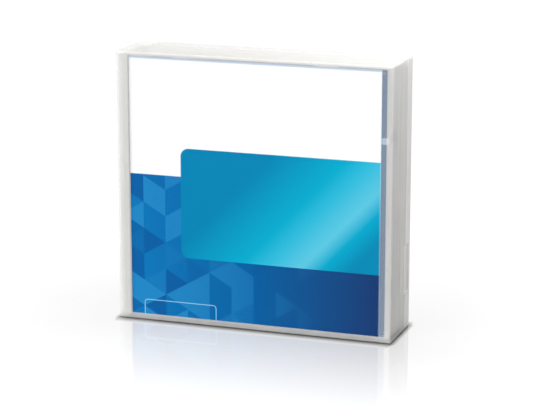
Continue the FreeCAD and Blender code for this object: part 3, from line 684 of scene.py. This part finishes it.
    def outline(self, x: Wire, z: Wire) -> Wire:
        """Marks the line of the outlined box, whose low side runs off the card.

        Args:
            x: Place along X.
            z: Place along Z.

        Returns:
            1 on the line and 0 elsewhere.
        """
        edge = rounded_box(x, z, self.outline_middle, self.outline_half, self.outline_corner)
        return (abs(edge) - self.outline_line).below(0.0, self.outline_line)

    def material(self) -> bpy.types.Material:
        """Builds the material.

        Returns:
            The material.
        """
        shader = Shader.of_material(self.name)
        x, y, z = shader.xyz()
        blue = z.below(self.blue_top, self.crisp)
        tone = shader.mix(blue, self.paper, self.blue_field(shader, x, z))
        tone = shader.mix(self.panel(x, z), tone, self.sea_light(shader, x, z))
        tone = shader.mix(self.outline(x, z) * self.outline_cover, tone, self.outline_ink)
        # Painted shadow: a bluish-grey line along the card's top edge stands in for the shade
        # there.
        painted_edge_shadow = z.above(self.high[1] - self.painted_shadow_height, self.edge_soft)
        tone = shader.mix(painted_edge_shadow, tone, self.edge)
        tone = shader.mix(y.below(self.front, self.front_soft), self.stock, tone)
        fibre = shader.noise(self.fibre_scale, detail=3.0)
        surface = shader.node("ShaderNodeBsdfPrincipled", None, {
            "Base Color": shader.mix(self.fibre_shade * fibre, tone, BLACK),
            "Roughness": self.roughness + self.fibre_rough * fibre,
            "IOR": self.ior, "Specular IOR Level": self.shine,
            "Normal": shader.bump(fibre, self.fibre_depth)})
        return shader.finish(surface)


@dataclass(frozen=True)
class Moulding:
    """Opaque moulded plastic with a fine spark-eroded grain.

    Attributes:
        name: The material's name.
        tone: Its colour.
        roughness: Its middle roughness.
        grain_scale: Specks of grain in a millimetre.
        grain_depth: Depth of the grain.
        grain_rough: How much the grain changes the roughness.
        cloud_scale: Soft patches in a millimetre.
        wear: How much the patches change the roughness.
        pale_factor: How many times lighter the palest places are.
        pale_lift: What is added to them after that.
        cloud_pale: How pale the patches turn the colour.
        grain_pale: How pale the grain turns it.
        ior: Index of refraction.
        shine: Level of the reflection.
    """

    name: str
    tone: Colour
    roughness: float = 0.5
    grain_scale: float = 3.6
    grain_depth: float = 0.007
    grain_rough: float = 0.06
    cloud_scale: float = 0.09
    wear: float = 0.12
    pale_factor: float = 1.25
    pale_lift: float = 0.012
    cloud_pale: float = 0.6
    grain_pale: float = 0.25
    ior: float = 1.5
    shine: float = 0.32

    def material(self) -> bpy.types.Material:
        """Builds the material.

        Returns:
            The material.
        """
        shader = Shader.of_material(self.name)
        grain = shader.noise(self.grain_scale, detail=5.0)
        cloud = shader.noise(self.cloud_scale, detail=3.0)
        pale = tuple(min(1.0, c * self.pale_factor + self.pale_lift) for c in self.tone)
        lightness = cloud * self.cloud_pale + grain * self.grain_pale
        rough = self.wear * (cloud - 0.5) + self.grain_rough * (grain - 0.5)
        surface = shader.node("ShaderNodeBsdfPrincipled", None, {
            "Base Color": shader.mix(lightness, self.tone, pale),
            "Roughness": self.roughness + rough,
            "Normal": shader.bump(grain, self.grain_depth),
            "IOR": self.ior, "Specular IOR Level": self.shine})
        return shader.finish(surface)


@dataclass(frozen=True)
class BrightSteel:
    """Plated steel with fine drawn lines.

    Attributes:
        name: The material's name.
        tone: Its colour.
        shade: How dark the deepest lines are, as a factor.
        shade_cover: How much of that darkness shows.
        line_scale: Lines in a millimetre.
        line_stretch: How the lines are stretched along X, Y and Z.
        line_depth: How deep they are.
        roughness: Roughness between the lines.
        line_rough: How much they add to it.
    """

    name: str
    tone: Colour = (0.62, 0.62, 0.61)
    shade: float = 0.8
    shade_cover: float = 0.4
    line_scale: float = 6.0
    line_stretch: tuple[float, float, float] = (1.0, 0.06, 1.0)
    line_depth: float = 0.006
    roughness: float = 0.22
    line_rough: float = 0.18

    def material(self) -> bpy.types.Material:
        """Builds the material.

        Returns:
            The material.
        """
        shader = Shader.of_material(self.name)
        lines = shader.noise(self.line_scale, place=shader.stretched(self.line_stretch))
        dark = scaled(self.tone, self.shade)
        surface = shader.node("ShaderNodeBsdfPrincipled", None, {
            "Base Color": shader.mix(lines * self.shade_cover, self.tone, dark),
            "Metallic": 1.0, "Roughness": self.roughness + self.line_rough * lines,
            "Normal": shader.bump(lines, self.line_depth)})
        return shader.finish(surface)


@dataclass(frozen=True)
class WoundTape:
    """The edges of the tape's turns, as fine rings about the reel's axis.

    Attributes:
        name: The material's name.
        centre: X and Z of the reel's axis.
        tone: Colour of the darkest turns.
        pale_factor: How many times lighter the palest turns are.
        rings: Bands of turns in a millimetre.
        ring_depth: How far the turns stand out.
        roughness: Roughness of the smoothest turns.
        ring_rough: How much the others add to it.
    """

    name: str
    centre: tuple[float, float]
    tone: Colour = (0.030, 0.024, 0.020)
    pale_factor: float = 2.2
    rings: float = 2.2
    ring_depth: float = 0.03
    roughness: float = 0.2
    ring_rough: float = 0.25

    def material(self) -> bpy.types.Material:
        """Builds the material.

        Returns:
            The material.
        """
        shader = Shader.of_material(self.name)
        x, _, z = shader.xyz()
        reach = diagonal(x - self.centre[0], z - self.centre[1])
        bands = shader.node("ShaderNodeTexNoise", {"noise_dimensions": "1D"},
                            {"W": reach * self.rings, "Scale": 1.0, "Detail": 5.0})
        turn = shader.out(bands, "Fac")
        pale = scaled(self.tone, self.pale_factor)
        surface = shader.node("ShaderNodeBsdfPrincipled", None, {
            "Base Color": shader.mix(turn, self.tone, pale),
            "Roughness": self.roughness + self.ring_rough * turn,
            "Normal": shader.bump(turn, self.ring_depth)})
        return shader.finish(surface)


@dataclass(frozen=True)
class CircuitBoard:
    """Solder resist over the tracks of an antenna.

    Attributes:
        name: The material's name.
        resist: Colour between the tracks.
        copper: Colour over the tracks.
        pitch: From track to track.
        track_edge: The wave's height at a track's edge.
        track_soft: How soft that edge is.
        track_depth: How far a track stands out.
        roughness: Roughness between the tracks.
        track_rough: How much a track adds to it.
    """

    name: str
    resist: Colour = (0.02, 0.15, 0.07)
    copper: Colour = (0.20, 0.30, 0.10)
    pitch: float = 0.9
    track_edge: float = 0.2
    track_soft: float = 0.4
    track_depth: float = 0.03
    roughness: float = 0.3
    track_rough: float = 0.1

    def material(self) -> bpy.types.Material:
        """Builds the material.

        Returns:
            The material.
        """
        shader = Shader.of_material(self.name)
        _, y, _ = shader.xyz()
        wave = (y * (2 * math.pi / self.pitch)).fold(Fold.SINE)
        tracks = wave.above(self.track_edge, self.track_soft)
        surface = shader.node("ShaderNodeBsdfPrincipled", None, {
            "Base Color": shader.mix(tracks, self.resist, self.copper),
            "Roughness": self.roughness + self.track_rough * tracks,
            "Normal": shader.bump(tracks, self.track_depth)})
        return shader.finish(surface)


def dress(frame: dict, node: str, material: bpy.types.Material) -> None:
    """Gives a carried-over solid its finish.

    Args:
        node: The solid's name.
        material: Its finish.
    """
    slots = frame["nodes"][node].data.materials
    slots.clear()
    slots.append(material)
    LOG.info("dressed %s", node)


def box_mm(node: str) -> tuple[Vector, Vector]:
    """A solid's lowest and highest corner at rest, in millimetres."""
    low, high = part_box(node)
    return low / MM, high / MM


@dataclass
class LibraryCase:
    """The hinged case: lid, tray and the title card behind the window.

    Attributes:
        frame_left: Width of the window's frosted frame at the hinge.
        frame_right: Its width at the latch.
        frame_top: Its width at the top.
        card_overlap: How far the window's low edge lies over the card's.
        card_gap: How far behind the card's face the polished skin reaches.
        print_depth: How far behind the card's face the print reaches.
        back_margin: Width of the frosted frame on the back.
        back_skin: Depth of the back panel's clearer skin.
        tray_frost: Share of light that the tray's frosted skins stop.
        back_frost: Share that the back panel stops inside its frame.
    """

    frame_left: float = 5.0
    frame_right: float = 2.7
    frame_top: float = 1.6
    card_overlap: float = 0.2
    card_gap: float = 0.2
    print_depth: float = 0.1
    back_margin: float = 3.0
    back_skin: float = 1.7
    tray_frost: float = 0.62
    back_frost: float = 0.2

    def dress_lid(self, frame: dict) -> None:
        """Frosts the lid round its polished window.
        """
        low, high = box_mm("case_lid")
        card_low, card_high = box_mm("insert_card")
        window = (low.x + self.frame_left, high.x - self.frame_right,
                  card_low.z + self.card_overlap, high.z - self.frame_top)
        lid = ClearPlastic("frosted_lid", window, face=card_low.y + self.card_gap,
                           facing=Facing.FRONT, polished_to=card_high.x)
        dress(frame, "case_lid", lid.material())

    def dress_tray(self, frame: dict) -> None:
        """Frosts the tray, less so over its back panel.
        """
        low, high = box_mm("case_tray")
        window = (low.x + self.back_margin, high.x - self.back_margin,
                  low.z + self.back_margin, high.z - self.back_margin)
        tray = ClearPlastic("frosted_tray", window, face=high.y - self.back_skin,
                            facing=Facing.BACK, polished_to=low.x, frost=self.tray_frost,
                            strip_frost=self.back_frost, strip_tint=ClearPlastic.tint)
        dress(frame, "case_tray", tray.material())

    def dress_card(self, frame: dict) -> None:
        """Prints the title card.
        """
        low, high = box_mm("insert_card")
        card = PrintedCard("title_card_print", (low.x, low.z), (high.x, high.z),
                           low.y + self.print_depth)
        dress(frame, "insert_card", card.material())

    def build(self, frame: dict) -> None:
        """Dresses the case's solids.
        """
        self.dress_lid(frame)
        self.dress_tray(frame)
        self.dress_card(frame)


@dataclass(frozen=True)
class ReturnSpring:
    """Compression coil of round wire, wound at its rest length; it does not shorten as its joint
    moves.

    Its fixed end is the low end of the solid it stands for.

    Attributes:
        name: The piece's name.
        node: The solid it stands for.
        joint: The joint whose travel is read; the coil does not follow it.
        axis: The direction it is wound along.
        start: The direction from the axis to the wire's first end.
        wire: The wire's diameter.
        turns: How many turns it has.
        turn_steps: Steps in a turn.
        wire_sides: Sides round the wire.
    """

    name: str
    node: str
    joint: str
    axis: Place
    start: Place
    wire: float
    turns: int
    turn_steps: int = 40
    wire_sides: int = 10

    def wind(self, fixed: Vector, length: float, radius: float) -> bpy.types.Mesh:
        """Winds the wire from its fixed end.

        Args:
            fixed: Where the axis starts, in metres.
            length: The coil's whole length, in metres.
            radius: From the axis to the wire's middle, in metres.

        Returns:
            The coil's closed mesh.
        """
        axis, start, wire = Vector(self.axis), Vector(self.start), self.wire * MM
        steps = self.turns * self.turn_steps
        across = Matrix((start, axis, start.cross(axis))).transposed().to_4x4()
        section = Matrix.Translation(fixed + axis * (wire / 2) + start * radius) @ across
        coil = bmesh.new()
        bmesh.ops.create_circle(coil, cap_ends=True, radius=wire / 2,
                                segments=self.wire_sides, matrix=section)
        wound = bmesh.ops.spin(coil, geom=[*coil.verts, *coil.edges], cent=fixed, axis=axis,
                               dvec=axis * ((length - wire) / steps),
                               angle=2 * math.pi * self.turns, steps=steps)
        bmesh.ops.contextual_create(coil, geom=wound["geom_last"])
        bmesh.ops.recalc_face_normals(coil, faces=coil.faces)
        for face in coil.faces:
            face.smooth = len(face.verts) != self.wire_sides
        shape = bpy.data.meshes.new(self.name)
        coil.to_mesh(shape)
        coil.free()
        return shape

    def build(self, frame: dict, material: bpy.types.Material) -> None:
        """Puts the coil in the solid's place on the tray; its length stays fixed.

        Args:
            material: Its finish.
        """
        low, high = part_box(self.node)
        axis = Vector(self.axis)
        length = (high - low).dot(axis)
        fixed = (low + high) / 2 - axis * (length / 2)
        radius = (abs((high - low).dot(Vector(self.start))) - self.wire * MM) / 2
        shape = self.wind(fixed, length, radius)
        shape.materials.append(material)
        piece = bpy.data.objects.new(self.name, shape)
        bpy.context.collection.objects.link(piece)
        travel = next(max(joint["range_m"]) for joint in frame["joints"]
                      if joint["name"] == self.joint)
        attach(piece, "tray")
        1 - travel / length
        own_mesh(piece)
        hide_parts(self.node)
        LOG.info("wound %s", self.name)


@dataclass
class Cartridge:
    """Shells, small parts, springs and reel of the cartridge.

    Attributes:
        black: Colour of the shells and the door.
        white: Colour of the reel.
        grey: Colour of the parts that slide.
        reel_roughness: Roughness of the reel.
        sliding_roughness: Roughness of the parts that slide.
        door_spring: The spring that shuts the access door.
        brake_spring: The spring that presses the brake disc on the reel.
    """

    black: Colour = (0.022, 0.023, 0.025)
    white: Colour = (0.72, 0.72, 0.69)
    grey: Colour = (0.16, 0.165, 0.17)
    reel_roughness: float = 0.42
    sliding_roughness: float = 0.4
    door_spring: ReturnSpring = ReturnSpring(
        "door_return_spring", "door_spring", "door_slide",
        axis=(1.0, 0.0, 0.0), start=(0.0, 0.0, -1.0), wire=0.3, turns=4)
    brake_spring: ReturnSpring = ReturnSpring(
        "brake_return_spring", "brake_spring", "brake_lift",
        axis=(0.0, 1.0, 0.0), start=(1.0, 0.0, 0.0), wire=0.8, turns=3)

    def dress_mouldings(self, frame: dict) -> None:
        """Finishes what is moulded: shells, reel and sliding parts.
        """
        shell = Moulding("black_shell_moulding", self.black)
        reel = Moulding("reel_moulding", self.white, self.reel_roughness)
        sliding = Moulding("sliding_moulding", self.grey, self.sliding_roughness)
        for finish, nodes in (
                (shell, ("lower_shell", "upper_shell", "access_door")),
                (reel, ("reel_hub", "upper_flange")),
                (sliding, ("brake_button", "release_pad", "write_protect_tab"))):
            material = finish.material()
            for node in nodes:
                dress(frame, node, material)

    def fit_steel(self, frame: dict) -> None:
        """Finishes the steel parts and winds the two springs.
        """
        steel = BrightSteel("plated_steel").material()
        for node in ("shell_screws", "leader_pin", "pin_clips", "drive_plate"):
            dress(frame, node, steel)
        for spring in (self.door_spring, self.brake_spring):
            spring.build(frame, steel)

    def dress_tape(self, frame: dict) -> None:
        """Finishes the wound tape, with its rings about the reel's axis, and its free end.
        """
        low, high = box_mm("reel_hub")
        centre = (low + high) / 2
        tape = WoundTape("wound_tape", (centre.x, centre.z)).material()
        for node in ("tape_pack", "leader_tape"):
            dress(frame, node, tape)

    def build(self, frame: dict) -> None:
        """Dresses the cartridge's solids and adds its springs.
        """
        self.dress_mouldings(frame)
        self.fit_steel(frame)
        self.dress_tape(frame)
        dress(frame, "memory_chip", CircuitBoard("memory_board").material())


@dataclass(frozen=True)
class Table:
    """White table with a faint reflection close to the case and a partly painted contact shadow.

    To the eye it glows almost white, and less so where the case meets it, so the real shadow that
    falls there still shows; the missing glow also paints a shadow line at the case's foot.

    Attributes:
        half: Half the table's side, in metres.
        footprint: Half the case's width and depth.
        mirror: Share of the light that it reflects beside the case.
        mirror_fade: How far off the reflection would have faded out.
        mirror_edge: Where the reflection ends.
        mirror_soft: Width of that end.
        polish: Roughness of the reflection.
        contact: How far the painted shadow line at the case's foot reaches.
        side_squeeze: How many times shorter it is at the case's sides.
        near: How far the table is less matt and more glowing.
        near_tone: Matt white right beside the case.
        far_tone: Matt white away from it.
        near_glow: Glow that is added right beside the case.
        far_glow: Glow away from it.
    """

    half: float = 3.0
    footprint: tuple[float, float] = (58.0, 13.6)
    mirror: float = 0.39
    mirror_fade: float = 115.0
    mirror_edge: float = 84.0
    mirror_soft: float = 12.0
    polish: float = 0.005
    contact: float = 6.4
    side_squeeze: float = 3.0
    near: float = 90.0
    near_tone: float = 0.04
    far_tone: float = 0.28
    near_glow: float = 0.16
    far_glow: float = 0.82

    def material(self) -> bpy.types.Material:
        """Builds the material.

        Returns:
            The material.
        """
        shader = Shader.of_material("white_table")
        x, y, _ = shader.xyz()
        off_x = (abs(x) - self.footprint[0]).fold(Fold.MAXIMUM, 0.0)
        off_y = (abs(y) - self.footprint[1]).fold(Fold.MAXIMUM, 0.0)
        away = diagonal(off_x, off_y)
        # Painted shadow: the glow fades out towards the case's foot, with a shorter reach at its
        # sides.
        clear_of_painted_shadow = ((off_x * self.side_squeeze + off_y) / self.contact).clamped()
        clear_table = (away / self.near).clamped()
        tone = shader.mix(clear_table, scaled(WHITE, self.near_tone), scaled(WHITE, self.far_tone))
        matt = shader.node("ShaderNodeBsdfDiffuse", None, {"Color": tone})
        level = clear_of_painted_shadow * (self.far_glow + (1.0 - clear_table) * self.near_glow)
        glow = shader.node("ShaderNodeEmission", None, {
            "Color": shader.mix(level, BLACK, WHITE), "Strength": shader.seen()})
        lit = shader.node("ShaderNodeAddShader", None,
                          {0: shader.out(matt), 1: shader.out(glow)})
        polish = shader.node("ShaderNodeBsdfGlossy", None, {"Roughness": self.polish})
        reflecting = away.below(self.mirror_edge, self.mirror_soft) * self.mirror
        share = (1.0 - away / self.mirror_fade) * reflecting
        return shader.finish(shader.node("ShaderNodeMixShader", None, {
            0: share, 1: shader.out(lit), 2: shader.out(polish)}))

    def build(self) -> None:
        """Lays the table under the case."""
        shape = bmesh.new()
        bmesh.ops.create_grid(shape, x_segments=1, y_segments=1, size=self.half)
        mesh = bpy.data.meshes.new("table_top")
        shape.to_mesh(mesh)
        shape.free()
        mesh.materials.append(self.material())
        top = bpy.data.objects.new("table_top", mesh)
        bpy.context.scene.collection.objects.link(top)
        LOG.info("laid %s", top.name)


@dataclass(frozen=True)
class Lamp:
    """A soft square lamp.

    Attributes:
        name: The lamp's name.
        place: Where it hangs, in metres.
        side: How wide it is, in metres.
        power: Its power, in watts.
    """

    name: str
    place: Place
    side: float
    power: float

    def hang(self, target: Vector) -> None:
        """Hangs the lamp and points it.

        Args:
            target: The place it looks at, in metres.
        """
        light = bpy.data.lights.new(self.name, "AREA")
        light.shape, light.size, light.energy = "SQUARE", self.side, self.power
        spot = Vector(self.place)
        turned = (target - spot).to_track_quat("-Z", "Y").to_matrix().to_4x4()
        holder = bpy.data.objects.new(self.name, light)
        holder.matrix_world = Matrix.Translation(spot) @ turned
        bpy.context.scene.collection.objects.link(holder)


@dataclass(frozen=True)
class Studio:
    """White table, soft light and the camera.

    Attributes:
        table: The table.
        lamps: The lamps.
        world_light: How strongly the white room lights the case.
        lens: The camera's focal length.
        sensor: The width of its sensor.
        azimuth: How far it stands round to the case's right, in degrees.
        elevation: How far it looks down, in degrees.
        distance: From the camera to the place it looks at.
        aim_height: Height of the case's middle, where lamps and camera look.
        aim_right: How far right of that the camera looks.
        aim_up: How far above that the camera looks.
        clip: Nearest and farthest place that it sees, in metres.
        clear_skins: How many clear skins a ray may cross.
    """

    table: Table = Table()
    lamps: tuple[Lamp, ...] = (
        Lamp("key_lamp", (-0.6, -1.6, 0.9), 1.2, 31.5),
        Lamp("top_lamp", (-0.2, 0.3, 1.7), 1.2, 8.5),
        Lamp("side_lamp", (0.16, -0.03, 0.25), 0.12, 0.28))
    world_light: float = 0.34
    lens: float = 138.57
    sensor: float = 36.0
    azimuth: float = 19.306
    elevation: float = 13.416
    distance: float = 835.1
    aim_height: float = 55.5
    aim_right: float = 2.04
    aim_up: float = -6.40
    clip: tuple[float, float] = (0.01, 20.0)
    clear_skins: int = 24

    def build_room(self) -> None:
        """Surrounds the scene with a room that looks white and lights the case softly."""
        world = bpy.data.worlds.new("white_room")
        shader = Shader(world)
        strength = self.world_light + (1.0 - self.world_light) * shader.seen()
        shader.finish(shader.node("ShaderNodeBackground", None, {
            "Color": (*WHITE, 1.0), "Strength": strength}))
        bpy.context.scene.world = world

    def set_camera(self) -> None:
        """Sets the camera up."""
        turn, tilt = math.radians(self.azimuth), math.radians(self.elevation)
        right = Vector((math.cos(turn), math.sin(turn), 0.0))
        back = Vector((math.sin(turn) * math.cos(tilt), -math.cos(turn) * math.cos(tilt),
                       math.sin(tilt)))
        up = back.cross(right)
        aim = Vector((0.0, 0.0, self.aim_height)) + right * self.aim_right + up * self.aim_up
        lens = bpy.data.cameras.new("camera")
        lens.lens, lens.sensor_width = self.lens, self.sensor
        lens.clip_start, lens.clip_end = self.clip
        holder = bpy.data.objects.new("camera", lens)
        axes = Matrix((right, up, back)).transposed().to_4x4()
        holder.matrix_world = Matrix.Translation((aim + back * self.distance) * MM) @ axes
        bpy.context.scene.collection.objects.link(holder)
        bpy.context.scene.camera = holder

    def build(self) -> None:
        """Builds table, room, lamps and camera."""
        self.table.build()
        self.build_room()
        for lamp in self.lamps:
            lamp.hang(Vector((0.0, 0.0, self.aim_height * MM)))
        self.set_camera()
        bpy.context.scene.view_settings.view_transform = "Standard"
        bpy.context.scene.cycles.transparent_max_bounces = self.clear_skins


def main() -> None:
    """Builds every sub-assembly in order."""
    logging.basicConfig(level=logging.INFO, format="%(name)s: %(message)s")
    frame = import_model()
    LibraryCase().build(frame)
    Cartridge().build(frame)
    Studio().build()


if __name__ == "__main__":
    main()
